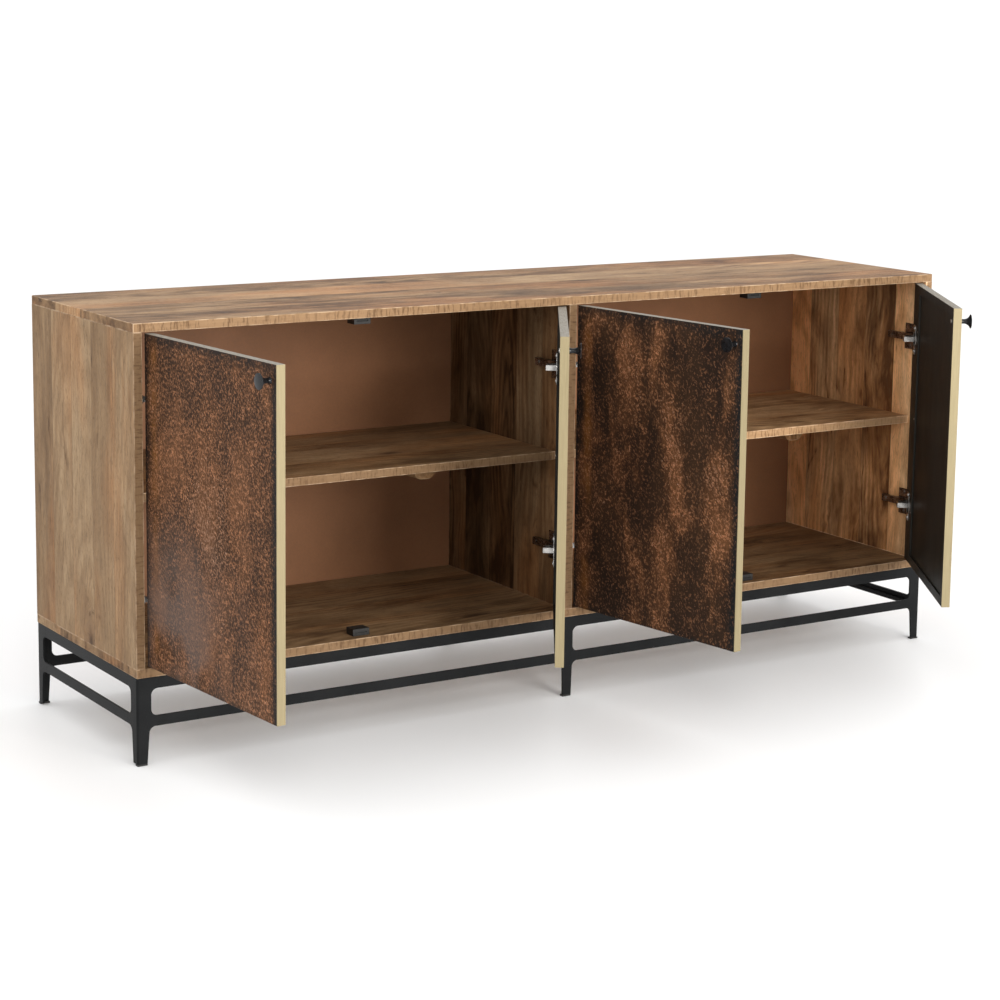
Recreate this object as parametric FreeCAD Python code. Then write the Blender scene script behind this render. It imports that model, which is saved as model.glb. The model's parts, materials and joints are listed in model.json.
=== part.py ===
"""Four-door sideboard buffet: plank carcass, steel leg frame, inset doors on concealed cup hinges.

Units are millimetres, +Z is up, the doors face -Y.
Origin: on the floor at the middle of the front centre leg's glide, midway along the cabinet.
The doors are modelled open, as they stand at joint value 0.
"""
import FreeCAD
import Part
import math
import os

V = FreeCAD.Vector
UP = V(0, 0, 1)

# ---- overall ----
WIDTH = 1800.0            # carcass and base, left to right
DEPTH = 460.0             # carcass, front to back
HEIGHT = 780.0            # floor to top surface
BASE_H = 158.0            # floor to underside of carcass

# ---- carcass ----
PANEL_T = 16.0            # top, bottom and side planks
DIVIDER_T = 16.0
BACK_T = 6.0              # hardboard back
BACK_SETBACK = 20.0       # back board to rear edges of the carcass
GROOVE_DEPTH = 6.0        # groove that holds the back board
SHELF_T = 16.0
SHELF_SETBACK = 40.0      # front plane to shelf edge
SHELF_END_GAP = 0.5       # shelf to panels, each end
SHELF_BACK_GAP = 1.0
BATTEN_W = 46.0           # stiffening battens under each shelf
BATTEN_H = 28.0
BATTEN_BACK_GAP = 32.0    # batten tail to back board
BATTEN_SETBACK = 72.0     # shelf edge to batten nose
BATTEN_END = 226.0        # bay side to batten flank
BATTEN_NOSE_R = 16.0
PIN_R = 2.5               # shelf pins
PIN_EMBED = 7.5
PIN_REACH = 9.0
PIN_INSET = 55.0          # pins from the shelf's front and back edges
CATCH_W = 34.0            # magnetic catches
CATCH_D = 26.0
CATCH_H = 13.0
CATCH_GAP = 1.0           # closed door to catch
CATCH_SLOT = 2.0          # recess between the two pole plates

# ---- base frame ----
STEEL_T = 4.0
TOP_RAIL_H = 21.0
WINDOW_H = 49.0           # opening between the two rails
LOW_RAIL_H = 19.0
LEG_W = 27.0              # leg at the window
LEG_SHOULDER_W = 23.0     # leg just below the lower rail
FOOT_W = 19.0
STUB = 41.0               # cut sheet's reach along the rails, from the corner
MID_LEG_HALF = 12.0
MID_FOOT_HALF = 9.5
MID_STUB = 26.0
WINDOW_R = 12.0
BEND_R = 5.0
FLANGE_W = 26.0           # top rail's flange under the carcass
FLANGE_T = 3.0
LIP_H = 9.0               # stiffening bar inside each side lower rail
LIP_T = 6.0
GLIDE_H = 3.0
GLIDE_D = 10.0
SCREW_HEAD_R = 4.5
SCREW_HEAD_H = 2.0
SCREW_PITCH = 280.0

# ---- doors ----
DOOR_T = 16.0
DOOR_GAP = 2.0            # hinge side
MEET_GAP = 1.2            # each door to the middle of its bay
EDGE_GAP = 2.5            # above and below each door
FACE_T = 1.2              # patinated steel face
EDGE_T = 1.6              # brass strip on the free edge
BORDER = 18.0             # raised border on the back
STILE = 60.0              # raised hinge stile on the back
RECESS = 3.0
STILE_SCREWS = (0.165, 0.475, 0.815)   # heights down the stile, share of door height
OPEN_ANGLES = (86.0, 57.0, 82.0, 58.0)  # degrees open at rest, left to right

# ---- knobs ----
KNOB_FROM_EDGE = 20.0
KNOB_FROM_TOP = 27.0
KNOB_R = 13.5
KNOB_NECK_R = 4.5
KNOB_FOOT_R = 6.0
KNOB_OUT = 22.0
KNOB_RIM = 2.2
KNOB_DOME = 1.0
STUD_R = 2.0

# ---- concealed hinges: in from a panel's face, and back from the rear face of the shut door ----
PIVOT_IN = 8.0            # door's turning axis, into the bay
PIVOT_AHEAD = 16.0        # and ahead of the door's rear face
HINGE_END = 116.0         # hinge centre to door's top or bottom
CUP_R = 17.5
CUP_WALL = 1.9
CUP_DEPTH = 11.5
CUP_FLOOR = 1.0
CUP_TAB = 4.0             # door edge to cup
FLANGE_PLATE_T = 1.2
FLANGE_PLATE_H = 62.0
FLANGE_PLATE_W = 18.0
FLANGE_SCREW_PITCH = 48.0
LINK_PIN_IN = 7.8         # arm tip pin, into the bay
LINK_PIN_BACK = 5.1
LINK_RATIO = 0.6          # link turn per door turn
LINK_PATH = ((0.0, 0.0), (14.2, 20.0), (34.5, 12.8), (26.3, -9.2))  # door shut, from the arm pin
LINK_T = 2.5
LINK_H = 10.0
LINK_EYE_R = 2.8
LINK_PIN_R = 1.3
RUNNING_FIT = 0.05        # radial clearance of link eye on pin
FORK_GAP = 0.5            # link side to fork cheek
CHEEK_T = 1.6
CHEEK_R = 3.0
ARM_IN = 4.0
ARM_W = 8.0
ARM_START = 15.0
ARM_END = 83.0
PLATE_T = 4.0
PLATE_FRONT = 4.0
PLATE_D = 46.0
PLATE_H = 54.0
PLATE_WING = 26.0
HINGE_SCREW_R = 4.0
HINGE_SCREW_HEAD = 1.4

# ---- derived ----
Y_FRONT = -GLIDE_D / 2
Y_REAR = Y_FRONT + DEPTH
HALF = WIDTH / 2
CARCASS_FLOOR = BASE_H + PANEL_T
CARCASS_CEIL = HEIGHT - PANEL_T
BACK_Y = Y_REAR - BACK_SETBACK - BACK_T
BAY_W = (WIDTH - 2 * PANEL_T - DIVIDER_T) / 2
DOOR_W = BAY_W / 2 - DOOR_GAP - MEET_GAP
DOOR_H = CARCASS_CEIL - CARCASS_FLOOR - 2 * EDGE_GAP
DOOR_Z = CARCASS_FLOOR + EDGE_GAP
SHELF_TOP = (CARCASS_FLOOR + CARCASS_CEIL + SHELF_T) / 2
CUP_X = DOOR_GAP + CUP_TAB + CUP_R
HINGE_HEIGHTS = (DOOR_Z + HINGE_END, DOOR_Z + DOOR_H - HINGE_END)
LOW_RAIL_Z = BASE_H - TOP_RAIL_H - WINDOW_H - LOW_RAIL_H
# hinge corners: (panel face x, +1 when the bay lies to the right of it)
CORNERS = ((-HALF + PANEL_T, 1), (-DIVIDER_T / 2, -1), (DIVIDER_T / 2, 1), (HALF - PANEL_T, -1))
BAYS = (("left", -HALF + PANEL_T, -DIVIDER_T / 2), ("right", DIVIDER_T / 2, HALF - PANEL_T))


def box(x0, x1, y0, y1, z0, z1):
    return Part.makeBox(x1 - x0, y1 - y0, z1 - z0, V(x0, y0, z0))


def rod(radius, start, direction, length):
    return Part.makeCylinder(radius, length, start, direction)


def joined(shapes):
    """One solid out of overlapping pieces."""
    return shapes[0].multiFuse(shapes[1:]).removeSplitter()


def group(shapes):
    return Part.makeCompound(shapes)


def mirrored_x(shape):
    return shape.mirror(V(0, 0, 0), V(1, 0, 0))


def mirrored_y(shape, plane_y):
    return shape.mirror(V(0, plane_y, 0), V(0, 1, 0))


def outline(points, arcs=()):
    """Closed wire through (u, v) points; arcs gives (index, (u, v)) for arc segments by midpoint."""
    via = dict(arcs)
    edges = []
    for i, start in enumerate(points):
        end = points[(i + 1) % len(points)]
        a, b = V(start[0], start[1], 0), V(end[0], end[1], 0)
        if i in via:
            edges.append(Part.Arc(a, V(via[i][0], via[i][1], 0), b).toShape())
        else:
            edges.append(Part.makeLine(a, b))
    return Part.Face(Part.Wire(edges))


def upright_sheet(face, thickness):
    """A (u, v) outline stood up as a sheet: u along X, v along Z, thickness along +Y from y = 0."""
    solid = face.extrude(V(0, 0, thickness))
    solid.rotate(V(0, 0, 0), V(1, 0, 0), 90)
    solid.translate(V(0, thickness, 0))
    return solid


# ---------------------------------------------------------------- carcass
def back_groove():
    return box(-HALF + PANEL_T - GROOVE_DEPTH, HALF - PANEL_T + GROOVE_DEPTH, BACK_Y, BACK_Y + BACK_T,
               CARCASS_FLOOR - GROOVE_DEPTH, CARCASS_CEIL + GROOVE_DEPTH)


def pin_sites(bay):
    """(x of the panel face, inward direction, y) for the pins that carry one bay's shelf."""
    name, x0, x1 = bay
    y_front = Y_FRONT + SHELF_SETBACK + PIN_INSET
    y_back = BACK_Y - SHELF_BACK_GAP - PIN_INSET
    return [(x, inward, y) for x, inward in ((x0, 1), (x1, -1)) for y in (y_front, y_back)]


def shelf_pin(x, inward, y):
    z = SHELF_TOP - SHELF_T - PIN_R
    return rod(PIN_R, V(x - inward * PIN_EMBED, y, z), V(inward, 0, 0), PIN_EMBED + PIN_REACH)


def carcass():
    groove = back_groove()
    pins = [shelf_pin(*site) for bay in BAYS for site in pin_sites(bay)]
    nodes = {}
    nodes["top_panel"] = box(-HALF, HALF, Y_FRONT, Y_REAR, CARCASS_CEIL, HEIGHT).cut(groove)
    nodes["bottom_panel"] = box(-HALF, HALF, Y_FRONT, Y_REAR, BASE_H, CARCASS_FLOOR).cut(groove)
    for side, x0 in (("left", -HALF), ("right", HALF - PANEL_T)):
        plank = box(x0, x0 + PANEL_T, Y_FRONT, Y_REAR, CARCASS_FLOOR, CARCASS_CEIL)
        nodes["side_panel_" + side] = plank.cut(groove).cut(group(pins))
    divider = box(-DIVIDER_T / 2, DIVIDER_T / 2, Y_FRONT, BACK_Y, CARCASS_FLOOR, CARCASS_CEIL)
    nodes["centre_divider"] = divider.cut(group(pins))
    nodes["back_panel"] = groove
    nodes["shelf_pins"] = group(pins)
    return nodes


def shelves():
    nodes = {}
    z1 = SHELF_TOP - SHELF_T
    y0 = Y_FRONT + SHELF_SETBACK
    for name, x0, x1 in BAYS:
        nodes["shelf_" + name] = box(x0 + SHELF_END_GAP, x1 - SHELF_END_GAP, y0, BACK_Y - SHELF_BACK_GAP,
                                     z1, SHELF_TOP)
        battens = []
        for left in (x0 + BATTEN_END, x1 - BATTEN_END - BATTEN_W):
            nose = y0 + BATTEN_SETBACK
            bar = box(left, left + BATTEN_W, nose, BACK_Y - BATTEN_BACK_GAP, z1 - BATTEN_H, z1)
            low = [e for e in bar.Edges if abs(e.CenterOfMass.z - (z1 - BATTEN_H)) < 1e-6
                   and abs(e.CenterOfMass.y - nose) > 1.0 and e.Length > BATTEN_W + 1.0]
            battens.append(bar.makeFillet(BATTEN_NOSE_R, low))
        nodes["shelf_battens_" + name] = group(battens)
    return nodes


def catches():
    """A magnetic catch at the top and bottom of each bay, behind where its two doors meet."""
    parts = []
    y0 = Y_FRONT + DOOR_T + CATCH_GAP
    for name, x0, x1 in BAYS:
        middle = (x0 + x1) / 2
        for z0 in (CARCASS_FLOOR, CARCASS_CEIL - CATCH_H):
            body = box(middle - CATCH_W / 2, middle + CATCH_W / 2, y0, y0 + CATCH_D, z0, z0 + CATCH_H)
            slot = box(middle - CATCH_W / 3, middle + CATCH_W / 3, y0, y0 + CATCH_SLOT,
                       z0 + CATCH_H / 2 - CATCH_SLOT / 2, z0 + CATCH_H / 2 + CATCH_SLOT / 2)
            parts.append(body.cut(slot))
    return {"magnetic_catches": group(parts)}


# ---------------------------------------------------------------- base frame
def leg_profile(width, shoulder, foot, stub):
    """Half of a leg and its rail stubs, from its outer edge at u = 0 inward."""
    low, rail, head = LOW_RAIL_Z, LOW_RAIL_Z + LOW_RAIL_H, BASE_H - TOP_RAIL_H
    r, k = WINDOW_R, WINDOW_R * (1 - math.sqrt(0.5))
    points = [(0, GLIDE_H), (foot, GLIDE_H), (shoulder, low - r), (shoulder + r, low), (stub, low),
              (stub, rail), (width + r, rail), (width, rail + r), (width, head - r), (width + r, head),
              (stub, head), (stub, BASE_H), (0, BASE_H)]
    arcs = ((2, (shoulder + k, low - k)), (6, (width + k, rail + k)), (8, (width + k, head - k)))
    return outline(points, arcs)


def corner_leg():
    """Left front corner: one sheet cut out and folded round the corner."""
    sheet = upright_sheet(leg_profile(LEG_W, LEG_SHOULDER_W, FOOT_W, STUB), STEEL_T)
    wing = sheet.copy()
    wing.rotate(V(0, 0, 0), UP, 90)
    wing = mirrored_x(wing)
    leg = joined([sheet, wing])
    fold = [e for e in leg.Edges if abs(e.CenterOfMass.x) < 1e-6 and abs(e.CenterOfMass.y) < 1e-6]
    leg = leg.makeFillet(BEND_R, fold)
    leg.translate(V(-HALF, Y_FRONT, 0))
    return leg


def centre_leg():
    half = upright_sheet(leg_profile(MID_LEG_HALF, MID_LEG_HALF - 1.0, MID_FOOT_HALF, MID_STUB), STEEL_T)
    leg = joined([half, mirrored_x(half)])
    leg.translate(V(0, Y_FRONT, 0))
    return leg


def rail_x(x0, x1, z0, height, flange):
    """Front rail between two stubs; a top rail carries a flange under the carcass."""
    web = box(x0, x1, Y_FRONT, Y_FRONT + STEEL_T, z0, z0 + height)
    if not flange:
        return web
    return joined([web, box(x0, x1, Y_FRONT, Y_FRONT + FLANGE_W, z0 + height - FLANGE_T, z0 + height)])


def rail_y(y0, y1, z0, height, flange):
    """Left side rail between two stubs; the lower one has a bar welded inside."""
    web = box(-HALF, -HALF + STEEL_T, y0, y1, z0, z0 + height)
    if flange:
        extra = box(-HALF, -HALF + FLANGE_W, y0, y1, z0 + height - FLANGE_T, z0 + height)
    else:
        extra = box(-HALF, -HALF + STEEL_T + LIP_T, y0, y1, z0, z0 + LIP_H)
    return joined([web, extra])


def base_frame():
    middle_y = (Y_FRONT + Y_REAR) / 2
    top_z = BASE_H - TOP_RAIL_H
    front_left = corner_leg()
    front_mid = centre_leg()
    nodes = {
        "leg_front_left": front_left,
        "leg_front_right": mirrored_x(front_left),
        "leg_back_left": mirrored_y(front_left, middle_y),
        "leg_back_right": mirrored_y(mirrored_x(front_left), middle_y),
        "leg_front_centre": front_mid,
        "leg_back_centre": mirrored_y(front_mid, middle_y),
    }
    for level, z0, height, flange in (("top", top_z, TOP_RAIL_H, True), ("low", LOW_RAIL_Z, LOW_RAIL_H, False)):
        run = rail_x(-HALF + STUB, -MID_STUB, z0, height, flange)
        side = rail_y(Y_FRONT + STUB, Y_REAR - STUB, z0, height, flange)
        nodes["rail_%s_front_left" % level] = run
        nodes["rail_%s_front_right" % level] = mirrored_x(run)
        nodes["rail_%s_back_left" % level] = mirrored_y(run, middle_y)
        nodes["rail_%s_back_right" % level] = mirrored_y(mirrored_x(run), middle_y)
        nodes["rail_%s_side_left" % level] = side
        nodes["rail_%s_side_right" % level] = mirrored_x(side)
    return nodes


def base_hardware():
    middle_y = (Y_FRONT + Y_REAR) / 2
    pads = []
    corner = box(-HALF, -HALF + FOOT_W, Y_FRONT, Y_FRONT + GLIDE_D, 0, GLIDE_H)
    centre = box(-MID_FOOT_HALF, MID_FOOT_HALF, Y_FRONT, Y_FRONT + GLIDE_D, 0, GLIDE_H)
    for pad in (corner, centre, mirrored_x(corner)):
        pads += [pad, mirrored_y(pad, middle_y)]
    heads = []
    count = int((HALF - STUB - MID_STUB) // SCREW_PITCH)
    span = HALF - STUB - MID_STUB
    y = Y_FRONT + (FLANGE_W + STEEL_T) / 2
    for i in range(count):
        x = MID_STUB + span * (i + 0.5) / count
        head = rod(SCREW_HEAD_R, V(x, y, BASE_H - FLANGE_T - SCREW_HEAD_H), UP, SCREW_HEAD_H)
        for one in (head, mirrored_x(head)):
            heads += [one, mirrored_y(one, middle_y)]
    return {"glides": group(pads), "base_screws": group(heads)}


# ---------------------------------------------------------------- doors, built shut at a left-hand corner
def door_parts():
    x0, x1 = DOOR_GAP, DOOR_GAP + DOOR_W
    z0, z1 = DOOR_Z, DOOR_Z + DOOR_H
    inner = x1 - EDGE_T
    knob_x, knob_z = x1 - KNOB_FROM_EDGE, z1 - KNOB_FROM_TOP
    stud = rod(STUD_R, V(knob_x, 0, knob_z), V(0, 1, 0), DOOR_T)

    face = joined([
        box(x0, inner, 0, FACE_T, z0, z1),
        box(x0, inner, 0, DOOR_T, z0, z0 + FACE_T),
        box(x0, inner, 0, DOOR_T, z1 - FACE_T, z1),
        box(x0, x0 + FACE_T, 0, DOOR_T, z0, z1),
    ]).cut(stud)
    edge = box(inner, x1, 0, DOOR_T, z0, z1)

    core = box(x0 + FACE_T, inner, FACE_T, DOOR_T, z0 + FACE_T, z1 - FACE_T)
    field = box(x0 + STILE, x1 - BORDER, DOOR_T - RECESS, DOOR_T, z0 + BORDER, z1 - BORDER)
    core = core.cut(field).cut(stud)
    cups = []
    for z in HINGE_HEIGHTS:
        core = core.cut(rod(CUP_R, V(CUP_X, DOOR_T - CUP_DEPTH, z), V(0, 1, 0), CUP_DEPTH))
        cups += cup_parts(z)
    for share in STILE_SCREWS:
        seat = V(x0 + STILE - HINGE_SCREW_R * 2, DOOR_T, z1 - share * DOOR_H)
        cups.append(rod(HINGE_SCREW_R / 2, seat, V(0, 1, 0), HINGE_SCREW_HEAD / 2))
    cups.append(rod(HINGE_SCREW_R, V(knob_x, DOOR_T, knob_z), V(0, 1, 0), HINGE_SCREW_HEAD))
    return {"core": core, "face": face, "edge": edge, "knob": knob(knob_x, knob_z).fuse(stud),
            "fittings": group(cups)}


def cup_parts(z):
    """Hollow cup let into the door's back, its long flange and the flange's two screws."""
    base_y = DOOR_T - CUP_DEPTH
    wings = box(CUP_X - FLANGE_PLATE_W / 2, CUP_X + FLANGE_PLATE_W / 2, DOOR_T, DOOR_T + FLANGE_PLATE_T,
                z - FLANGE_PLATE_H / 2, z + FLANGE_PLATE_H / 2)
    corners = [e for e in wings.Edges if abs(e.Length - FLANGE_PLATE_T) < 1e-6]
    wings = wings.makeFillet(FLANGE_PLATE_W / 3, corners)
    cup = joined([rod(CUP_R, V(CUP_X, base_y, z), V(0, 1, 0), CUP_DEPTH + FLANGE_PLATE_T), wings])
    cup = cup.cut(rod(CUP_R - CUP_WALL, V(CUP_X, base_y + CUP_FLOOR, z), V(0, 1, 0),
                      CUP_DEPTH + FLANGE_PLATE_T))
    heads = [rod(HINGE_SCREW_R * 0.8, V(CUP_X, DOOR_T + FLANGE_PLATE_T, z + side * FLANGE_SCREW_PITCH / 2),
                 V(0, 1, 0), HINGE_SCREW_HEAD) for side in (-1, 1)]
    return [cup] + heads


def knob(x, z):
    """Trumpet knob standing out of the door's face along -Y."""
    rim = KNOB_OUT - KNOB_RIM
    neck = V(KNOB_NECK_R, 0, rim * 0.3)
    foot = Part.Arc(V(KNOB_FOOT_R, 0, 0), V(KNOB_NECK_R + 0.5, 0, rim * 0.13), neck)
    flare = Part.Arc(neck, V(KNOB_NECK_R + (KNOB_R - KNOB_NECK_R) * 0.27, 0, rim * 0.75), V(KNOB_R, 0, rim))
    dome_r = (KNOB_R ** 2 + KNOB_DOME ** 2) / (2 * KNOB_DOME)
    half_way = math.asin(KNOB_R / dome_r) / 2
    shoulder = V(KNOB_R, 0, KNOB_OUT - KNOB_DOME)
    crown = V(dome_r * math.sin(half_way), 0, KNOB_OUT - dome_r * (1 - math.cos(half_way)))
    tip = V(0, 0, KNOB_OUT)
    wire = Part.Wire([foot.toShape(), flare.toShape(), Part.makeLine(V(KNOB_R, 0, rim), shoulder),
                      Part.Arc(shoulder, crown, tip).toShape(), Part.makeLine(tip, V(0, 0, 0)),
                      Part.makeLine(V(0, 0, 0), V(KNOB_FOOT_R, 0, 0))])
    solid = Part.Face(wire).revolve(V(0, 0, 0), UP, 360)
    solid.rotate(V(0, 0, 0), V(1, 0, 0), 90)
    solid.translate(V(x, 0, z))
    return solid


def hinge_mounts():
    """Mounting plate, arm, tip pin and screws of both hinges; they stay on the cabinet."""
    parts = []
    for z in HINGE_HEIGHTS:
        y_mid = PLATE_FRONT + PLATE_D / 2
        plate = joined([
            box(0, PLATE_T, PLATE_FRONT, PLATE_FRONT + PLATE_D, z - LINK_H / 2 - 2, z + LINK_H / 2 + 2),
            box(0, PLATE_T / 2, y_mid - PLATE_WING / 2, y_mid + PLATE_WING / 2, z - PLATE_H / 2, z + PLATE_H / 2),
        ])
        cheek_z = LINK_H / 2 + FORK_GAP
        top = cheek_z + CHEEK_T
        arm = box(ARM_IN, ARM_IN + ARM_W, ARM_START, ARM_END, z - top, z + top)
        cheeks = []
        for low in (z - top, z + cheek_z):
            tip = V(LINK_PIN_IN, LINK_PIN_BACK, low)
            shin = Part.Face(Part.makePolygon([
                V(LINK_PIN_IN - CHEEK_R, LINK_PIN_BACK, low), V(LINK_PIN_IN + CHEEK_R * 0.8, LINK_PIN_BACK + 1.5, low),
                V(ARM_IN + ARM_W, ARM_START, low), V(ARM_IN + ARM_W, ARM_START + 2, low),
                V(ARM_IN, ARM_START + 2, low), V(ARM_IN, ARM_START - 3, low),
                V(LINK_PIN_IN - CHEEK_R, LINK_PIN_BACK, low)])).extrude(V(0, 0, CHEEK_T))
            cheeks += [rod(CHEEK_R, tip, UP, CHEEK_T), shin]
        pin = rod(LINK_PIN_R, V(LINK_PIN_IN, LINK_PIN_BACK, z - top), UP, 2 * top)
        screws = [rod(HINGE_SCREW_R, V(ARM_IN + ARM_W, y, z), V(1, 0, 0), HINGE_SCREW_HEAD)
                  for y in (ARM_START + 9, ARM_END - 10)]
        screws += [rod(HINGE_SCREW_R, V(PLATE_T / 2, y_mid, z + side * (PLATE_H / 2 - 7)), V(1, 0, 0),
                       HINGE_SCREW_HEAD) for side in (-1, 1)]
        parts += [joined([plate, arm] + cheeks + [pin])] + screws
    mounts = group(parts)
    mounts.translate(V(0, DOOR_T, 0))
    return mounts


def link_pair():
    """The goose-neck link of both hinges, with the door shut; its free eye sits in the hollow cup."""
    parts = []
    for z in HINGE_HEIGHTS:
        low = z - LINK_H / 2
        solids = [rod(LINK_T / 2, V(u, v, low), UP, LINK_H) for u, v in LINK_PATH[1:-1]]
        solids += [rod(LINK_EYE_R, V(LINK_PATH[0][0], LINK_PATH[0][1], low), UP, LINK_H),
                   rod(LINK_T / 2, V(LINK_PATH[-1][0], LINK_PATH[-1][1], low), UP, LINK_H)]
        for (u0, v0), (u1, v1) in zip(LINK_PATH[:-1], LINK_PATH[1:]):
            length = math.hypot(u1 - u0, v1 - v0)
            bar = Part.makeBox(length, LINK_T, LINK_H, V(0, -LINK_T / 2, 0))
            bar.rotate(V(0, 0, 0), UP, math.degrees(math.atan2(v1 - v0, u1 - u0)))
            bar.translate(V(u0, v0, low))
            solids.append(bar)
        link = joined(solids).cut(rod(LINK_PIN_R + RUNNING_FIT, V(0, 0, low), UP, LINK_H))
        link.translate(V(LINK_PIN_IN, DOOR_T + LINK_PIN_BACK, 0))
        parts.append(link)
    return group(parts)


def placed(shape, corner, turn, about):
    """Turn a left-hand part open about a vertical axis, then move it to its corner, mirrored if need be."""
    x_face, hand = corner
    out = shape.copy()
    out.rotate(V(about[0], about[1], 0), UP, -turn)
    if hand < 0:
        out = mirrored_x(out)
    out.translate(V(x_face, Y_FRONT, 0))
    return out


def doors():
    nodes = {}
    built = door_parts()
    mounts = hinge_mounts()
    links = link_pair()
    for number, (corner, angle) in enumerate(zip(CORNERS, OPEN_ANGLES), start=1):
        for name, shape in built.items():
            nodes["door_%d_%s" % (number, name)] = placed(shape, corner, angle,
                                                            (PIVOT_IN, DOOR_T - PIVOT_AHEAD))
        nodes["hinge_mounts_%d" % number] = placed(mounts, corner, 0.0, (0.0, 0.0))
        nodes["hinge_links_%d" % number] = placed(links, corner, LINK_RATIO * angle,
                                                  (LINK_PIN_IN, DOOR_T + LINK_PIN_BACK))
    return nodes


def main():
    os.makedirs("parts", exist_ok=True)
    nodes = {}
    for build in (carcass, shelves, catches, base_frame, base_hardware, doors):
        nodes.update(build())
    for name, shape in nodes.items():
        shape.exportStep("parts/%s.step" % name)
    print(len(nodes), "nodes")


main()
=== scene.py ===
"""Looks for the four-door sideboard: plank wood, patinated copper doors, brass edges, black steel base."""

import json
import math

import bpy
from mathutils import Matrix, Vector


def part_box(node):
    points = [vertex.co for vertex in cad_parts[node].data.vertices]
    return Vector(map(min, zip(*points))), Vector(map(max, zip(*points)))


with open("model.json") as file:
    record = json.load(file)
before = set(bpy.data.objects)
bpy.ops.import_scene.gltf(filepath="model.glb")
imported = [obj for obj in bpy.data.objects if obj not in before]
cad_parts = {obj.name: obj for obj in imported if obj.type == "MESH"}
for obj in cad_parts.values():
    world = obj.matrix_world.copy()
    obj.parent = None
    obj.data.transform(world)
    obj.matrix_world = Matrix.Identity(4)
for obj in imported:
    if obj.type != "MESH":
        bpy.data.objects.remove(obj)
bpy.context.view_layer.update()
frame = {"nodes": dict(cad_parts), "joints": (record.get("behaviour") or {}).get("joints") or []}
NODES = frame["nodes"]

# ---- camera, in the part's frame ----
CAMERA_AT = Vector((-2.57717, -3.82374, 1.32030))
YAW, PITCH, ROLL = math.radians(32.3166), math.radians(9.1344), math.radians(0.7378)
SENSOR = 36.0
LENS = 2.45192 * SENSOR
SHIFT_Y = -0.1

AXES = {"x": 0, "y": 1, "z": 2}


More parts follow.
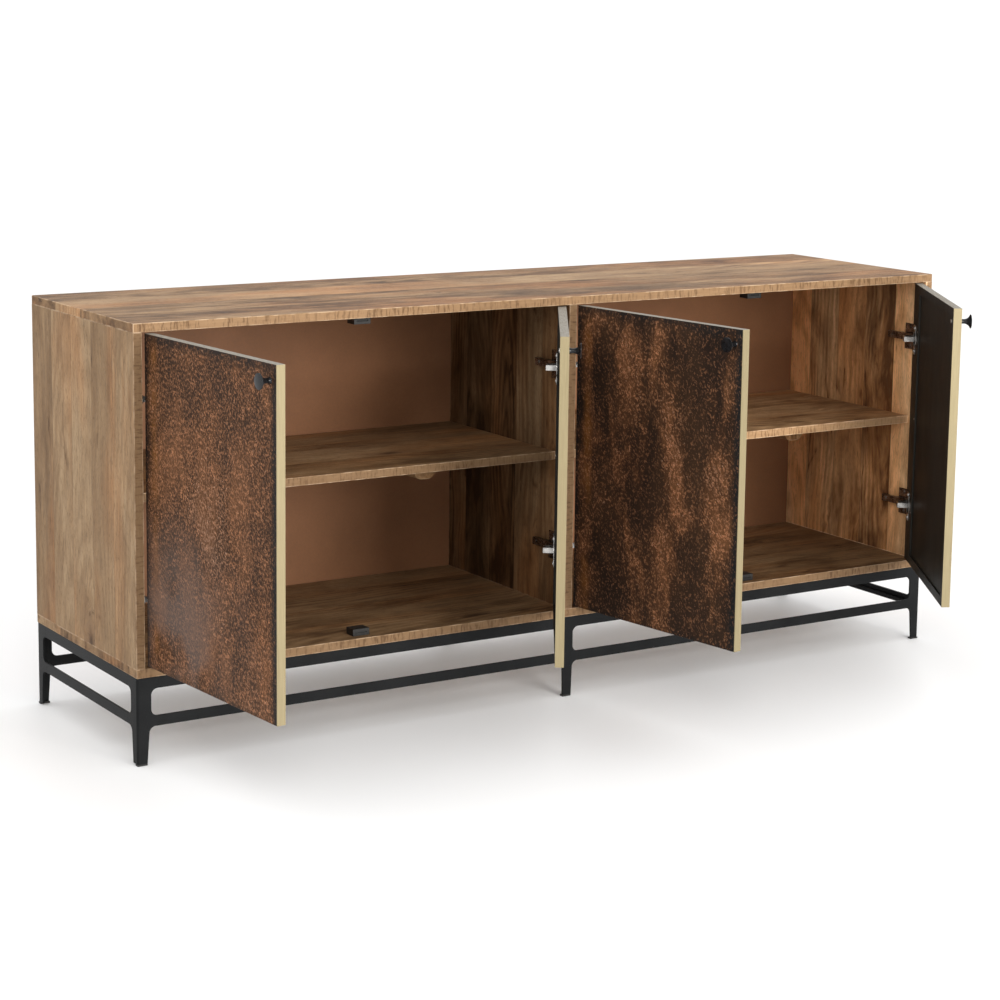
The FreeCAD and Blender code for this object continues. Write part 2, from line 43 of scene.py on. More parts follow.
# ------------------------------------------------------------------ node helpers
class Tree:
    """A material being built; every method returns the new node's output socket."""

    def __init__(self, name):
        self.material = bpy.data.materials.new(name)
        self.material.use_nodes = True
        self.nodes = self.material.node_tree.nodes
        self.links = self.material.node_tree.links
        self.shader = self.nodes["Principled BSDF"]
        self.coords = self.add("ShaderNodeTexCoord").outputs["Object"]

    def add(self, kind, **props):
        node = self.nodes.new(kind)
        for key, value in props.items():
            setattr(node, key, value)
        return node

    def put(self, socket, value):
        if isinstance(value, bpy.types.NodeSocket):
            self.links.new(value, socket)
        elif isinstance(value, (tuple, list)) and len(value) == 3 and socket.type == "RGBA":
            socket.default_value = (*value, 1.0)
        else:
            socket.default_value = value

    def math(self, operation, a, b=None, c=None, clamp=False):
        node = self.add("ShaderNodeMath", operation=operation, use_clamp=clamp)
        for socket, value in zip(node.inputs, (a, b, c)):
            if value is not None:
                self.put(socket, value)
        return node.outputs[0]

    def vector(self, x, y, z):
        node = self.add("ShaderNodeCombineXYZ")
        for socket, value in zip(node.inputs, (x, y, z)):
            self.put(socket, value)
        return node.outputs[0]

    def point(self, *axes):
        """A vector; an axis given as a pair is a value times a factor."""
        return self.vector(*(self.math("MULTIPLY", *axis) if isinstance(axis, tuple) else axis
                             for axis in axes))

    def split(self, vector):
        node = self.add("ShaderNodeSeparateXYZ")
        self.put(node.inputs[0], vector)
        return node.outputs[0], node.outputs[1], node.outputs[2]

    def normal(self):
        return self.split(self.add("ShaderNodeNewGeometry").outputs["Normal"])

    def noise(self, vector, scale=1.0, detail=3.0, rough=0.5, distortion=0.0):
        node = self.add("ShaderNodeTexNoise")
        for name, value in (("Vector", vector), ("Scale", scale), ("Detail", detail),
                            ("Roughness", rough), ("Distortion", distortion)):
            self.put(node.inputs[name], value)
        return node.outputs[0]

    def cells(self, vector):
        """Voronoi distance and random colour of the nearest cell."""
        node = self.add("ShaderNodeTexVoronoi")
        for name, value in (("Vector", vector), ("Scale", 1.0), ("Randomness", 1.0)):
            self.put(node.inputs[name], value)
        return node.outputs["Distance"], node.outputs["Color"]

    def random(self, value):
        node = self.add("ShaderNodeTexWhiteNoise", noise_dimensions="1D")
        self.put(node.inputs["W"], value)
        return node.outputs["Value"], node.outputs["Color"]

    def span(self, value, low, high, to_low=0.0, to_high=1.0):
        """A smooth step from to_low to to_high as the value goes from low to high."""
        node = self.add("ShaderNodeMapRange", interpolation_type="SMOOTHSTEP")
        for socket, number in zip(node.inputs, (value, low, high, to_low, to_high)):
            self.put(socket, number)
        return node.outputs[0]

    def ramp(self, value, stops):
        node = self.add("ShaderNodeValToRGB")
        elements = node.color_ramp.elements
        while len(elements) < len(stops):
            elements.new(0.5)
        for element, (place, colour) in zip(elements, stops):
            element.position = place
            element.color = (*colour, 1.0)
        self.put(node.inputs[0], value)
        return node.outputs[0]

    def mix(self, amount, a, b, blend="MIX"):
        node = self.add("ShaderNodeMix", data_type="RGBA", blend_type=blend)
        self.put(node.inputs[0], amount)
        self.put(node.inputs[6], a)
        self.put(node.inputs[7], b)
        return node.outputs[2]

    def shaded(self, colour, factor):
        """The colour times a grey factor."""
        return self.mix(1.0, colour, self.vector(factor, factor, factor), "MULTIPLY")

    def swing(self, value, amount, base=0.0, centre=0.5):
        """The base, plus the value's distance from its centre times amount."""
        return self.math("MULTIPLY_ADD", self.math("SUBTRACT", value, centre), amount, base)

    def bump(self, height, depth, strength):
        node = self.add("ShaderNodeBump")
        self.put(node.inputs["Height"], height)
        node.inputs["Distance"].default_value = depth
        node.inputs["Strength"].default_value = strength
        return node.outputs[0]

    def finish(self, **sockets):
        names = {"colour": "Base Color", "metal": "Metallic", "rough": "Roughness", "bump": "Normal",
                 "specular": "Specular IOR Level"}
        for key, value in sockets.items():
            self.put(self.shader.inputs[names[key]], value)
        return self.material


def near_edge(t, box, reach):
    """1 along the arrises of a box-shaped piece, fading over reach."""
    gaps = []
    for value, low, high in zip(t.split(t.coords), *box):
        gaps.append(t.math("MINIMUM", t.math("SUBTRACT", value, low), t.math("SUBTRACT", high, value)))
    dx, dy, dz = gaps
    middle = t.math("MAXIMUM", t.math("MINIMUM", dx, dy), t.math("MINIMUM", t.math("MAXIMUM", dx, dy), dz))
    return t.span(middle, 0.0, reach, 1.0, 0.0)


# ------------------------------------------------------------------ wood
RING_GAP = 0.0105           # between growth rings
WANDER = 0.055              # how far the grain strays from a straight line
KNOT_PUSH = 0.13            # how far a knot pushes it aside
SMUDGE_DARK = -0.42         # what a smudge takes off the tone
WOOD_RELIEF = 0.00035
SEAM_HALF = 0.0009          # half the width of a glued seam
WORN_AND_HIGHLIGHT_REACH = 0.002          # how far wear and a painted highlight reach in from an arris
MANGO = ((0.0, (0.058, 0.03, 0.0155)), (0.24, (0.145, 0.083, 0.043)), (0.5, (0.246, 0.15, 0.083)),
         (0.75, (0.315, 0.203, 0.118)), (1.0, (0.4, 0.272, 0.168)))    # dark figure to pale
WARMED, PALED = (1.2, 0.94, 0.68), (1.0, 0.99, 0.9)    # tints laid over it
PORE_TONE = (0.085, 0.048, 0.026)
KNOT_RIM, KNOT_EYE = (0.15, 0.078, 0.04), (0.06, 0.03, 0.016)
EDGE_GOLD, EDGE_PALE, EDGE_TICK = (0.4, 0.232, 0.108), (0.62, 0.4, 0.215), (0.12, 0.06, 0.024)
SEAM_TONE = (0.075, 0.04, 0.022)
WORN_AND_HIGHLIGHT_TONE = (0.58, 0.42, 0.28)


def wood(name, box, along, across, plank, stave, seed, warmth, shade, ticks=0.0, knots=1.0,
         contrast=1.0, patch=1.0, unmatched=0.5, painted_inner_light=None):
    """Oiled mango planks: each plank and stave is its own cut of a log, with wavy figure, pores and knots.

    Ticks are the short dark dashes on the front edge, patch the dark smudges and unmatched how much
    the planks differ. The last argument gives the x where a painted lighter inner face ends, the x where
    the outer tone begins, and how many times lighter the inner face is painted: painted light inside the
    bay.
    """
    t = Tree(name)
    parts = dict(zip("xyz", t.split(t.coords)))
    depth_axis = next(a for a in "xyz" if a not in (along, across))
    u, v, w = parts[along], parts[across], parts[depth_axis]

    low = box[0][AXES[across]]
    row = t.math("FLOOR", t.math("DIVIDE", t.math("SUBTRACT", v, low), plank))
    row_random, _ = t.random(t.math("ADD", row, seed * 13.7))
    piece = t.math("FLOOR", t.math("ADD", t.math("DIVIDE", u, stave), t.math("MULTIPLY", row_random, 9.0)))
    own = t.math("ADD", t.math("MULTIPLY", row, 17.0), t.math("MULTIPLY_ADD", piece, 3.7, seed))
    tone, offsets = t.random(own)
    o1, o2, o3 = t.split(offsets)

    # the plank's own place in a log
    pu = t.math("MULTIPLY_ADD", o1, 11.0, u)
    pv = t.math("MULTIPLY_ADD", o2, 7.0, v)
    pw = t.math("MULTIPLY_ADD", o3, 5.0, w)
    place = t.vector(pu, pv, pw)

    def stretched(length, girth):
        """A point whose noise runs long with the grain."""
        return t.point((pu, length), (bent, girth), (pw, girth))

    # the grain wanders, and knots bend it round them
    knot_gap, knot_random = t.cells(t.point((pu, 3.2), (pv, 8.0), 0.0))
    has_knot = t.span(t.split(knot_random)[0], 0.6, 0.64)
    pull = t.math("MULTIPLY", t.span(knot_gap, 0.0, 0.5, knots, 0.0), has_knot)
    swirl = t.math("SUBTRACT", t.noise(place, 13.0, 3.0, 0.55), 0.5)
    bent = t.swing(t.noise(t.point((pu, 3.4), (pv, 7.0), pw), 1.0, 3.0, 0.5), WANDER, pv)
    bent = t.math("MULTIPLY_ADD", t.math("MULTIPLY", swirl, pull), KNOT_PUSH, bent)

    # growth rings: cathedral arches where the cut is shallow
    plank_low = t.math("MULTIPLY_ADD", row, plank, low)
    centre = t.math("MULTIPLY_ADD", o2, plank * 1.6, plank * -0.3)
    sideways = t.math("SUBTRACT", t.math("SUBTRACT", v, plank_low), centre)
    sideways = t.math("ADD", sideways, t.math("SUBTRACT", bent, pv))
    arch = t.swing(o1, 0.3)
    under = t.math("MULTIPLY_ADD", arch, u, t.math("MULTIPLY_ADD", o3, 0.05, 0.015))
    squares = t.math("ADD", t.math("MULTIPLY", sideways, sideways), t.math("MULTIPLY", under, under))
    turns = t.math("MULTIPLY", t.math("SQRT", squares), 2 * math.pi / RING_GAP)
    rings = t.math("MULTIPLY_ADD", t.math("SINE", turns), 0.5, 0.5)
    rings = t.math("MULTIPLY", rings, t.span(t.noise(place, 6.0, 2.0), 0.38, 0.62, 0.1, 1.0))

    streak = t.noise(stretched(2.8, 27.0), 1.0, 5.0, 0.62, 0.5)
    fibre = t.noise(stretched(16.0, 330.0), 1.0, 4.0, 0.75)
    pores = t.span(t.noise(stretched(75.0, 950.0), 1.0, 1.0, 0.5), 0.62, 0.7)
    patches = t.noise(stretched(5.2, 13.0), 1.0, 4.0, 0.6, 0.7)
    mottle = t.noise(stretched(22.0, 70.0), 1.0, 3.0, 0.6, 0.6)
    smudge = t.noise(stretched(6.0, 24.0), 1.0, 4.0, 0.6, 1.1)
    hue = t.noise(stretched(1.7, 8.0), 1.0, 3.0, 0.5, 0.5)

    value = t.swing(streak, 0.85 * contrast, 0.5)
    value = t.swing(rings, 0.2 * contrast, value, centre=0.3)
    value = t.swing(tone, unmatched, value)
    value = t.swing(patches, 0.95 * contrast, value)
    value = t.swing(mottle, 0.28 * contrast, value)
    dark = t.span(smudge, 0.6, 0.76, 0.0, SMUDGE_DARK * patch)
    value = t.math("ADD", value, dark, clamp=True)

    def toned(colour):
        return tuple(channel * shade for channel in colour)

    colour = t.ramp(value, [(stop, toned(tone_at)) for stop, tone_at in MANGO])
    warm = t.mix(1.0, colour, WARMED, "MULTIPLY")
    pale = t.mix(1.0, colour, PALED, "MULTIPLY")
    cool = 0.2 * (1 - warmth)
    colour = t.mix(t.span(hue, 0.3 + cool, 0.66 + cool), pale, warm)
    fine = t.swing(fibre, 1.15, 1.0)
    colour = t.shaded(colour, fine)
    colour = t.mix(t.math("MULTIPLY", pores, 0.5), colour, toned(PORE_TONE))
    eye_gap = t.math("MULTIPLY_ADD", swirl, 0.16, knot_gap)
    eye = t.math("MULTIPLY", t.span(eye_gap, 0.02, 0.12, 1.0, 0.0), has_knot)
    halo = t.math("MULTIPLY", t.span(eye_gap, 0.05, 0.32, 0.5, 0.0), has_knot)
    colour = t.mix(t.math("MULTIPLY", halo, min(knots, 1.0)), colour, toned(KNOT_RIM))
    colour = t.mix(t.math("MULTIPLY", eye, 0.85 * min(knots, 1.0)), colour, toned(KNOT_EYE))

    if ticks:
        _, ny, _ = t.normal()
        front = t.span(ny, -0.6, -0.85)
        dash = t.noise(t.point((u, 210.0), (w, 38.0), 0.0), 1.0, 3.0, 0.6)
        amount = t.noise(t.point((u, 3.1), seed, 0.0), 1.0, 2.0)
        dash = t.math("MULTIPLY", t.span(dash, 0.47, 0.66), t.span(amount, 0.3, 0.6, 0.35, 1.0))
        gold = t.mix(t.noise(t.point((u, 14.0), (w, 160.0), 0.0), 1.0, 3.0, 0.6),
                     toned(EDGE_GOLD), toned(EDGE_PALE))
        gold = t.mix(t.math("MULTIPLY", dash, 0.85), gold, toned(EDGE_TICK))
        colour = t.mix(t.math("MULTIPLY", front, ticks), colour, gold)

    seam_place = t.math("FRACT", t.math("DIVIDE", t.math("SUBTRACT", v, low), plank))
    seam = t.math("MINIMUM", seam_place, t.math("SUBTRACT", 1.0, seam_place))
    seam = t.span(seam, 0.0, SEAM_HALF / plank, 1.0, 0.0)
    colour = t.mix(t.math("MULTIPLY", seam, 0.6), colour, toned(SEAM_TONE))

    # pale arrises: partly real wear, partly a painted highlight along the edges
    rubbed_and_lit = t.span(t.noise(t.coords, 55.0, 3.0), 0.35, 0.65, 0.1, 0.75)
    worn_and_highlight = t.math("MULTIPLY", near_edge(t, box, WORN_AND_HIGHLIGHT_REACH), rubbed_and_lit)
    colour = t.mix(worn_and_highlight, colour, toned(WORN_AND_HIGHLIGHT_TONE))

    if painted_inner_light:
        # the inner face is painted lighter than the outer one: painted light inside the bay
        from_x, to_x, painted_lift = painted_inner_light
        colour = t.shaded(colour, t.span(parts["x"], from_x, to_x, painted_lift, 1.0))

    rough = t.math("MULTIPLY_ADD", pores, 0.15, t.span(fibre, 0.3, 0.7, 0.5, 0.62))
    height = t.math("SUBTRACT", t.math("MULTIPLY_ADD", rings, 0.25, t.math("MULTIPLY", fibre, 0.6)),
                    t.math("ADD", t.math("MULTIPLY", pores, 0.9), t.math("MULTIPLY", seam, 1.2)))
    return t.finish(colour=colour, rough=rough, specular=0.12, bump=t.bump(height, WOOD_RELIEF, 0.85))


def hardboard():
    """Brown pressed board with soft mottling and a faint leathery tooth."""
    t = Tree("hardboard")
    cloud = t.noise(t.coords, 3.2, 4.0, 0.55)
    grain = t.noise(t.coords, 260.0, 3.0, 0.65)
    specks = t.span(t.noise(t.coords, 900.0, 2.0, 0.6), 0.62, 0.74)
    colour = t.mix(t.span(cloud, 0.3, 0.7), (0.215, 0.096, 0.042), (0.3, 0.136, 0.062))
    shade = t.swing(grain, 0.32, 1.0)
    colour = t.shaded(colour, shade)
    colour = t.mix(t.math("MULTIPLY", specks, 0.35), colour, (0.34, 0.19, 0.11))
    return t.finish(colour=colour, rough=t.span(grain, 0.2, 0.8, 0.5, 0.68), specular=0.35,
                    bump=t.bump(t.math("ADD", grain, specks), 0.00025, 0.7))


# ------------------------------------------------------------------ doors
class Door:
    """Where a door hangs, and the way from the part's frame to the door's own: u from its pivot, v up."""

    def __init__(self, number):
        joint = next(j for j in frame["joints"] if j["name"] == "door_%d_hinge" % number)
        self.number = number
        self.pivot = Vector(joint["pos_m"])
        self.angle = math.radians(-joint["range_deg"][0])
        self.hand = 1.0 if joint["axis"][2] < 0 else -1.0
        self.bottom, self.top = (corner[2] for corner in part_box("door_%d_edge" % number))
        self.width = self.local(sum(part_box("door_%d_edge" % number), Vector()) / 2).x

    def local(self, point):
        rel = Vector(point) - self.pivot
        rel.x *= self.hand
        return Matrix.Rotation(self.angle, 3, "Z") @ rel

    def mapped(self, t):
        """The door's own coordinates inside a material."""
        node = t.add("ShaderNodeMapping", vector_type="POINT")
        t.put(node.inputs["Vector"], t.coords)
        node.inputs["Scale"].default_value = (self.hand, 1.0, 1.0)
        node.inputs["Rotation"].default_value = (0.0, 0.0, self.angle)
        shift = Matrix.Rotation(self.angle, 3, "Z") @ Vector((self.pivot.x * self.hand, self.pivot.y, 0.0))
        node.inputs["Location"].default_value = (-shift.x, -shift.y, -self.bottom)
        return node.outputs[0]


BLACKENED, BROWNED = (0.016, 0.0115, 0.0095), (0.047, 0.026, 0.015)    # the ground between the flecks
MARGIN_TONE = (0.0125, 0.0135, 0.014)
WASH_DARK, WASH_WARM = (0.048, 0.023, 0.012), (0.15, 0.066, 0.029)
RUST_TONE = (0.25, 0.1, 0.022)
COPPER_DULL, COPPER_CLEAN, COPPER_PINK = (0.2, 0.083, 0.036), (0.46, 0.215, 0.11), (0.36, 0.22, 0.15)
PAINTED_GLINT_TONE = (0.62, 0.43, 0.32)
PAINTED_REFLECTION_TONE = (0.17, 0.135, 0.12)
FOLD_DARK, FOLD_LIGHT = (0.2, 0.18, 0.15), (0.34, 0.31, 0.265)
RUST_IN = 0.026             # the rusty line, from the hinge edge
PATINA_RELIEF = 0.0008


def patina(door, dark, flecked, glow, painted_reflection):
    """Copper sheet, blackened and rubbed back: dense worm-like flecks, warm drips and dark margins.

    Dark shifts the rubbed areas towards none, flecked is the least share of flecks left anywhere,
    glow brightens the copper, and the last argument is a painted reflection: a grey haze low down by the
    hinge.
    """
    def lifted(colour):
        return tuple(channel * glow for channel in colour)

    t = Tree("copper_patina_%d" % door.number)
    u, depth, v = t.split(door.mapped(t))
    seed = door.number * 3.1
    place = t.vector(u, v, seed)
    sway = t.math("SUBTRACT", t.noise(place, 24.0, 3.0), 0.5)
    fu = t.math("ADD", u, t.math("MULTIPLY_ADD", v, 0.22, t.math("MULTIPLY", sway, 0.03)))

    flake = t.noise(t.point((fu, 265.0), (v, 180.0), seed), 1.0, 2.5, 0.55)
    worm = t.noise(t.point((fu, 160.0), (v, 105.0), seed + 9.0), 1.0, 2.0, 0.5, 0.6)
    worm = t.span(t.math("ABSOLUTE", t.math("SUBTRACT", worm, 0.5)), 0.012, 0.075, 1.0, 0.0)
    grit = t.noise(t.point((fu, 640.0), (v, 430.0), seed), 1.0, 2.0, 0.6)

    drips = t.noise(t.point((u, 17.0), (v, 6.5), seed), 1.0, 5.0, 0.6, 0.5)
    clouds = t.noise(t.point((u, 7.0), (v, 4.6), seed + 4.0), 1.0, 4.0, 0.6, 0.3)
    blend = t.math("MULTIPLY_ADD", drips, 0.6, t.math("MULTIPLY", clouds, 0.4))
    cover = t.span(blend, 0.38 + dark, 0.6 + dark, flecked, 1.0)

    # margins: a dark band along the free edge and the head, a rusty one by the hinge
    wobble = t.swing(t.noise(place, 36.0, 4.0, 0.6), 0.02)
    from_free = t.math("ADD", t.math("SUBTRACT", door.width, u), wobble)
    from_head = t.math("ADD", t.math("SUBTRACT", door.top - door.bottom, v), t.math("MULTIPLY", wobble, 1.8))
    from_foot = t.math("ADD", v, wobble)
    from_hinge = t.math("ADD", u, wobble)
    margin = t.span(from_free, 0.004, 0.024, 1.0, 0.0)
    margin = t.math("MAXIMUM", margin, t.span(from_head, -0.004, 0.026, 0.85, 0.0))
    margin = t.math("MAXIMUM", margin, t.span(from_foot, -0.002, 0.01, 0.5, 0.0))
    margin = t.math("MAXIMUM", margin, t.span(from_hinge, -0.004, 0.012, 0.8, 0.0))
    cover = t.math("MULTIPLY", cover, t.math("SUBTRACT", 1.0, t.math("MULTIPLY", margin, 0.93)))

    # where the copper was rubbed less, the flecks are fewer and smaller
    sparse = t.math("MULTIPLY_ADD", t.math("SUBTRACT", 1.0, cover), -0.09, flake)
    fleck = t.math("MAXIMUM", t.span(sparse, 0.5, 0.56), t.math("MULTIPLY", worm, t.span(sparse, 0.4, 0.52)))
    fleck = t.math("MULTIPLY", fleck, t.span(grit, 0.28, 0.56, 0.3, 1.0))

    base = t.mix(t.span(clouds, 0.32, 0.66), BLACKENED, BROWNED)
    base = t.mix(margin, base, MARGIN_TONE)
    wash = t.mix(t.span(drips, 0.38, 0.7), WASH_DARK, lifted(WASH_WARM))
    base = t.mix(t.math("MULTIPLY", cover, 0.85), base, wash)
    rust_line = t.math("ABSOLUTE", t.math("SUBTRACT", from_hinge, RUST_IN))
    rust = t.math("MULTIPLY", t.span(rust_line, 0.0, 0.018, 0.5, 0.0),
                  t.span(t.noise(place, 15.0, 4.0), 0.35, 0.65))
    base = t.mix(rust, base, RUST_TONE)
    copper = t.mix(t.span(grit, 0.35, 0.7), lifted(COPPER_DULL), lifted(COPPER_CLEAN))
    copper = t.mix(t.span(clouds, 0.56, 0.78, 0.0, 0.45), copper, lifted(COPPER_PINK))
    uneven = t.noise(t.point((fu, 85.0), (v, 70.0), seed + 6.0), 1.0, 3.0, 0.6)
    uneven = t.span(uneven, 0.32, 0.68, 0.62, 1.4)
    copper = t.shaded(copper, uneven)
    lit = t.math("MULTIPLY", fleck, t.math("MULTIPLY_ADD", cover, 0.72, 0.24))
    colour = t.mix(lit, base, copper)
    # painted glints: bright specks on the flecks that stand in for highlights
    painted_glint = t.span(t.noise(t.point((fu, 330.0), (v, 270.0), seed + 2.0), 1.0, 2.0, 0.6),
                   0.62, 0.7)
    painted_glint = t.math("MULTIPLY", painted_glint, t.math("MULTIPLY", lit, t.span(clouds, 0.4, 0.62, 0.25, 0.9)))
    colour = t.mix(painted_glint, colour, PAINTED_GLINT_TONE)
    # painted reflection: a grey haze low down by the hinge that stands in for the floor seen in the sheet
    haze = t.math("MULTIPLY", t.span(t.noise(place, 7.0, 3.0, 0.5), 0.36, 0.6), t.span(v, 0.34, 0.1))
    haze = t.math("MULTIPLY", haze, t.span(u, 0.3, 0.14, 0.15, 1.0))
    colour = t.mix(t.math("MULTIPLY", haze, painted_reflection), colour, PAINTED_REFLECTION_TONE)

    # the folded edges are bare steel
    _, _, nz = t.normal()
    bare = t.span(t.math("ABSOLUTE", nz), 0.5, 0.8)
    scuff = t.noise(t.point((u, 60.0), (depth, 900.0), seed), 1.0, 3.0)
    steel = t.mix(t.span(scuff, 0.3, 0.7), FOLD_DARK, FOLD_LIGHT)
    colour = t.mix(bare, colour, steel)

    rough = t.swing(grit, 0.25, t.span(clouds, 0.3, 0.7, 0.46, 0.58))
    height = t.math("MULTIPLY_ADD", lit, 0.8, t.math("MULTIPLY", grit, 0.5))
    return t.finish(colour=colour, metal=t.math("MULTIPLY", lit, 0.25), rough=rough, specular=0.04,
                    bump=t.bump(height, PATINA_RELIEF, 1.0))


def brass(door):
    """Drawn brass strip, brushed along its length, with darker tarnish where fingers and air reach it."""
    t = Tree("brass_edge_%d" % door.number)
    u, depth, v = t.split(door.mapped(t))
    brush = t.noise(t.point((u, 2500.0), (depth, 2500.0), (v, 14.0)), 1.0, 3.0, 0.6)
    tarnish = t.noise(t.point((u, 30.0), (depth, 60.0), (v, 5.0)), 1.0, 4.0, 0.6)
    colour = t.mix(t.span(brush, 0.25, 0.75), (0.225, 0.178, 0.092), (0.3, 0.245, 0.135))
    colour = t.mix(t.span(tarnish, 0.52, 0.78, 0.0, 0.5), colour, (0.16, 0.12, 0.06))
    _, _, nz = t.normal()
    colour = t.mix(t.span(t.math("ABSOLUTE", nz), 0.5, 0.8, 0.0, 0.75), colour, (0.3, 0.28, 0.23))
    return t.finish(colour=colour, metal=0.3, rough=t.span(brush, 0.2, 0.8, 0.34, 0.5),
                    bump=t.bump(brush, 0.00012, 0.5))


def door_back(door):
    """Black-stained board: upright grain under thin satin paint, dusty in the low spots."""
    t = Tree("door_back_%d" % door.number)
    u, depth, v = t.split(door.mapped(t))
    grain = t.noise(t.point((u, 190.0), (depth, 190.0), (v, 7.0)), 1.0, 4.0, 0.6, 0.3)
    cloud = t.noise(t.point((u, 6.0), door.number * 2.3, (v, 3.0)), 1.0, 4.0, 0.6)
    dust = t.span(t.noise(t.coords, 700.0, 3.0, 0.7), 0.62, 0.76)
    colour = t.mix(t.span(grain, 0.3, 0.7), (0.0075, 0.0078, 0.0066), (0.017, 0.0172, 0.0142))
    colour = t.mix(t.span(cloud, 0.4, 0.7, 0.0, 0.5), colour, (0.03, 0.026, 0.021))
    colour = t.mix(t.math("MULTIPLY", dust, 0.16), colour, (0.12, 0.11, 0.1))
    return t.finish(colour=colour, rough=t.span(cloud, 0.3, 0.7, 0.42, 0.55), specular=0.18,
                    bump=t.bump(grain, 0.0002, 0.5))


# ------------------------------------------------------------------ other metals and plastics
def black_steel():
    """Black powder coat: fine orange peel, cloudy tone and a few pale flecks."""
    t = Tree("black_steel")
    peel = t.noise(t.coords, 620.0, 2.0, 0.5)
    cloud = t.noise(t.coords, 7.0, 4.0, 0.6)
    fleck = t.span(t.noise(t.coords, 1500.0, 1.0), 0.66, 0.74)
    colour = t.mix(t.span(cloud, 0.3, 0.7), (0.0048, 0.0052, 0.0056), (0.009, 0.0095, 0.01))
    colour = t.mix(t.math("MULTIPLY", fleck, 0.25), colour, (0.06, 0.062, 0.065))
    return t.finish(colour=colour, metal=0.0, rough=t.span(peel, 0.3, 0.7, 0.42, 0.54), specular=0.12,
                    bump=t.bump(peel, 0.0001, 0.6))


def knob_black():
    """Gloss black enamel over turned metal, with faint turning marks and handling smears."""
    t = Tree("knob_black")
    turning = t.noise(t.coords, 900.0, 2.0, 0.5)
    smear = t.noise(t.coords, 120.0, 3.0, 0.6)
    colour = t.mix(t.span(smear, 0.3, 0.7), (0.006, 0.0062, 0.0068), (0.014, 0.0145, 0.016))
    return t.finish(colour=colour, metal=0.0, rough=t.span(smear, 0.35, 0.75, 0.04, 0.1), specular=0.24,
                    bump=t.bump(turning, 0.00003, 0.4))


def nickel(name, light, dark, rough_low, rough_high):
    """Plated steel: fine die lines, tiny dull spots and darker smudges."""
    t = Tree(name)
    x, y, z = t.split(t.coords)
    lines = t.noise(t.point((x, 1400.0), (y, 160.0), (z, 1400.0)), 1.0, 2.0, 0.5)
    smudge = t.noise(t.coords, 70.0, 4.0, 0.6)
    colour = t.mix(t.span(smudge, 0.3, 0.72), light, dark)
    return t.finish(colour=colour, metal=1.0, rough=t.span(lines, 0.3, 0.7, rough_low, rough_high),
                    bump=t.bump(lines, 0.00004, 0.5))


def dark_plastic():
    """Moulded plastic: fine spark texture and slight scuffing."""
    t = Tree("dark_plastic")
    spark = t.noise(t.coords, 1600.0, 2.0, 0.6)
    scuff = t.span(t.noise(t.coords, 90.0, 4.0, 0.65), 0.52, 0.75)
    colour = t.mix(t.math("MULTIPLY", scuff, 0.5), (0.012, 0.011, 0.01), (0.04, 0.036, 0.032))
    return t.finish(colour=colour, rough=t.span(spark, 0.3, 0.7, 0.42, 0.6), specular=0.4,
                    bump=t.bump(spark, 0.00006, 0.6))


def paint(node, material):
    obj = NODES[node]
    obj.data.materials.clear()
    obj.data.materials.append(material)


WOOD_ARRIS, BATTEN_ARRIS, SHEET_ARRIS, STEEL_ARRIS = 0.0009, 0.0012, 0.0004, 0.0005
SMALL_ARRIS, FINE_ARRIS, TINY_ARRIS = 0.0004, 0.0003, 0.0002
ARRIS_ANGLE = math.radians(32.0)    # edges sharper than this are rounded
WELD_REACH = 0.00002


def soften(node, width):
    """Rounds a CAD node's arrises a little; its own mesh stays as it is."""
    obj = NODES[node]
    mesh = obj.data
    if "custom_normal" in mesh.attributes:
        mesh.attributes.remove(mesh.attributes["custom_normal"])
    mesh.polygons.foreach_set("use_smooth", [True] * len(mesh.polygons))
    weld = obj.modifiers.new("weld", "WELD")
    weld.merge_threshold = WELD_REACH
    bevel = obj.modifiers.new("arris", "BEVEL")
    bevel.width = width
    bevel.segments = 2
    bevel.limit_method = "ANGLE"
    bevel.angle_limit = ARRIS_ANGLE
    bevel.harden_normals = True
    bevel.use_clamp_overlap = True


DOORS = [Door(n) for n in range(1, 5)]

# ------------------------------------------------------------------ carcass
LONG = 40.0                 # longer than any panel, so no plank has a joint along it
side_low, side_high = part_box("side_panel_left")
PANEL_D = round(side_high[1] - side_low[1], 4)
SIDE_PLANK, FLAT_PLANK = PANEL_D / 5, PANEL_D / 4
right_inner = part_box("side_panel_right")[0][0]
# painted light: the right panel's inner face is painted lighter, standing in for light falling into the bay
PAINTED_INNER_LIGHT = (right_inner + 0.002, right_inner + 0.006, 1.9)
# Shade scales each part's wood. Beyond the boards' own tone it paints light and shade: the divider's low
# shade is painted shade in its bay.
UPRIGHTS = {
    "side_panel_left": dict(seed=21.0, warmth=0.35, shade=0.84, ticks=0.75, contrast=1.0, patch=1.2),
    "side_panel_right": dict(seed=8.0, warmth=0.9, shade=1.1, ticks=0.75, contrast=1.5, patch=1.5,
                             painted_inner_light=PAINTED_INNER_LIGHT),
    "centre_divider": dict(seed=5.0, warmth=0.7, shade=0.7, ticks=0.9, contrast=1.4, patch=1.6),
}
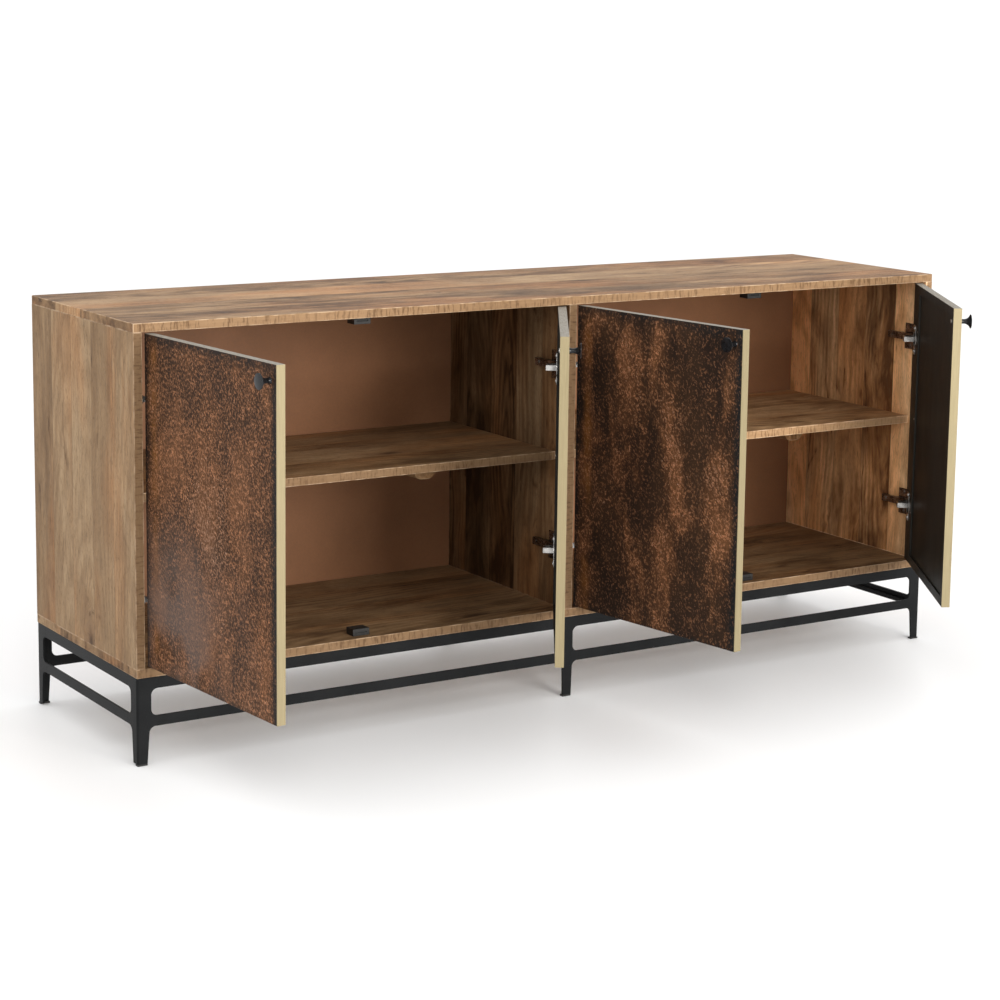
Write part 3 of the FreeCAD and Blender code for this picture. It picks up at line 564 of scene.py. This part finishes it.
# the right shelf's high shade is painted light in its bay
FLATS = {
    "top_panel": dict(seed=2.0, warmth=0.5, shade=1.19, ticks=0.9),
    "bottom_panel": dict(seed=6.0, warmth=0.5, shade=0.92, ticks=0.85),
    "shelf_left": dict(seed=9.0, warmth=0.55, shade=1.02, ticks=0.7),
    "shelf_right": dict(seed=4.0, warmth=0.55, shade=1.75, ticks=0.95),
}
BATTENS = {"shelf_battens_left": 1.0, "shelf_battens_right": 7.0}    # their seeds
for node, look in UPRIGHTS.items():
    paint(node, wood("wood_" + node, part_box(node), "z", "y", SIDE_PLANK, LONG, knots=1.3,
                     unmatched=0.75, **look))
    soften(node, WOOD_ARRIS)
for node, look in FLATS.items():
    paint(node, wood("wood_" + node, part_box(node), "x", "y", FLAT_PLANK, LONG, contrast=1.15, patch=1.15,
                     unmatched=0.36, **look))
    soften(node, WOOD_ARRIS)
for node, seed in BATTENS.items():
    paint(node, wood("wood_" + node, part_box(node), "y", "x", 0.6, 4.0, seed, 0.6, 1.0, knots=0.3))
    soften(node, BATTEN_ARRIS)
paint("back_panel", hardboard())
soften("back_panel", SHEET_ARRIS)

# ------------------------------------------------------------------ base
STEEL = black_steel()
PLASTIC = dark_plastic()
NICKEL = nickel("hinge_steel", (0.62, 0.6, 0.57), (0.3, 0.29, 0.28), 0.22, 0.38)
CHROME = nickel("hinge_mount_steel", (0.3, 0.29, 0.28), (0.05, 0.046, 0.043), 0.2, 0.36)
SCREWS = nickel("screw_steel", (0.2, 0.2, 0.2), (0.09, 0.09, 0.09), 0.3, 0.45)
for node in NODES:
    if node.startswith(("leg_", "rail_")):
        paint(node, STEEL)
        soften(node, STEEL_ARRIS)
for node in ("glides", "magnetic_catches"):
    paint(node, PLASTIC)
    soften(node, SMALL_ARRIS)
paint("base_screws", SCREWS)
paint("shelf_pins", NICKEL)
soften("base_screws", SMALL_ARRIS)
soften("shelf_pins", FINE_ARRIS)

# ------------------------------------------------------------------ doors and hinges
KNOB = knob_black()
PATINAS = {
    1: dict(dark=-0.02, flecked=0.6, glow=0.86, painted_reflection=0.45),
    2: dict(dark=0.03, flecked=0.3, glow=1.0, painted_reflection=0.1),
    3: dict(dark=0.05, flecked=0.12, glow=1.05, painted_reflection=0.0),
    4: dict(dark=0.03, flecked=0.3, glow=1.0, painted_reflection=0.1),
}
DOOR_ARRISES = {"face": SMALL_ARRIS, "edge": FINE_ARRIS, "core": SMALL_ARRIS, "knob": FINE_ARRIS,
                "fittings": TINY_ARRIS}
for door in DOORS:
    prefix = "door_%d_" % door.number
    paint(prefix + "face", patina(door, **PATINAS[door.number]))
    paint(prefix + "edge", brass(door))
    paint(prefix + "core", door_back(door))
    paint(prefix + "knob", KNOB)
    paint(prefix + "fittings", NICKEL)
    paint("hinge_mounts_%d" % door.number, CHROME)
    paint("hinge_links_%d" % door.number, NICKEL)
    for part, width in DOOR_ARRISES.items():
        soften(prefix + part, width)
    soften("hinge_mounts_%d" % door.number, FINE_ARRIS)
    soften("hinge_links_%d" % door.number, FINE_ARRIS)


# ------------------------------------------------------------------ stage, light and camera
FLOOR_HALF = 40.0
FLOOR_DROP = 0.0004         # keeps the floor clear of the glides' undersides
SKY = 1.13                  # strength of the white surroundings
LAMP_TINT = (1.0, 0.98, 0.95)
KEY_LAMP = dict(at=(-2.6, -4.0, 3.2), target=(-0.1, 0.0, 0.4), size=1.6, power=45.0)
FRONT_LAMP = dict(at=(0.2, -5.4, 1.5), target=(0.3, 0.2, 0.45), size=2.4, power=240.0)


def floor():
    mesh = bpy.data.meshes.new("floor")
    corners = [(x * FLOOR_HALF, y * FLOOR_HALF, 0.0) for x, y in ((-1, -1), (1, -1), (1, 1), (-1, 1))]
    mesh.from_pydata(corners, [], [(0, 1, 2, 3)])
    obj = bpy.data.objects.new("floor", mesh)
    bpy.context.scene.collection.objects.link(obj)
    t = Tree("floor")
    haze = t.noise(t.coords, 0.8, 2.0)
    mesh.materials.append(t.finish(colour=t.mix(haze, (0.925, 0.927, 0.93), (0.945, 0.947, 0.95)),
                                   rough=0.55, specular=0.2))
    obj.location.z = -FLOOR_DROP


def area_light(name, at, target, size, power):
    data = bpy.data.lights.new(name, "AREA")
    data.shape = "SQUARE"
    data.size = size
    data.energy = power
    data.color = LAMP_TINT
    obj = bpy.data.objects.new(name, data)
    bpy.context.scene.collection.objects.link(obj)
    obj.location = at
    obj.rotation_euler = (Vector(target) - Vector(at)).to_track_quat("-Z", "Y").to_euler()


def camera():
    data = bpy.data.cameras.new("camera")
    data.sensor_width = SENSOR
    data.lens = LENS
    data.shift_y = SHIFT_Y
    data.clip_end = 200.0
    obj = bpy.data.objects.new("camera", data)
    bpy.context.scene.collection.objects.link(obj)
    forward = Vector((math.sin(YAW) * math.cos(PITCH), math.cos(YAW) * math.cos(PITCH), -math.sin(PITCH)))
    level = Vector((math.cos(YAW), -math.sin(YAW), 0.0))
    up = level.cross(forward)
    right = level * math.cos(ROLL) + up * math.sin(ROLL)
    up = up * math.cos(ROLL) - level * math.sin(ROLL)
    turn = Matrix((right, up, -forward)).transposed()
    obj.matrix_world = Matrix.Translation(CAMERA_AT) @ turn.to_4x4()
    bpy.context.scene.camera = obj


world = bpy.data.worlds.new("studio")
world.use_nodes = True
background = world.node_tree.nodes["Background"]
background.inputs["Color"].default_value = (1.0, 1.0, 1.0, 1.0)
background.inputs["Strength"].default_value = SKY
bpy.context.scene.world = world
bpy.context.scene.view_settings.view_transform = "Standard"
floor()
area_light("key", **KEY_LAMP)
area_light("front", **FRONT_LAMP)
camera()
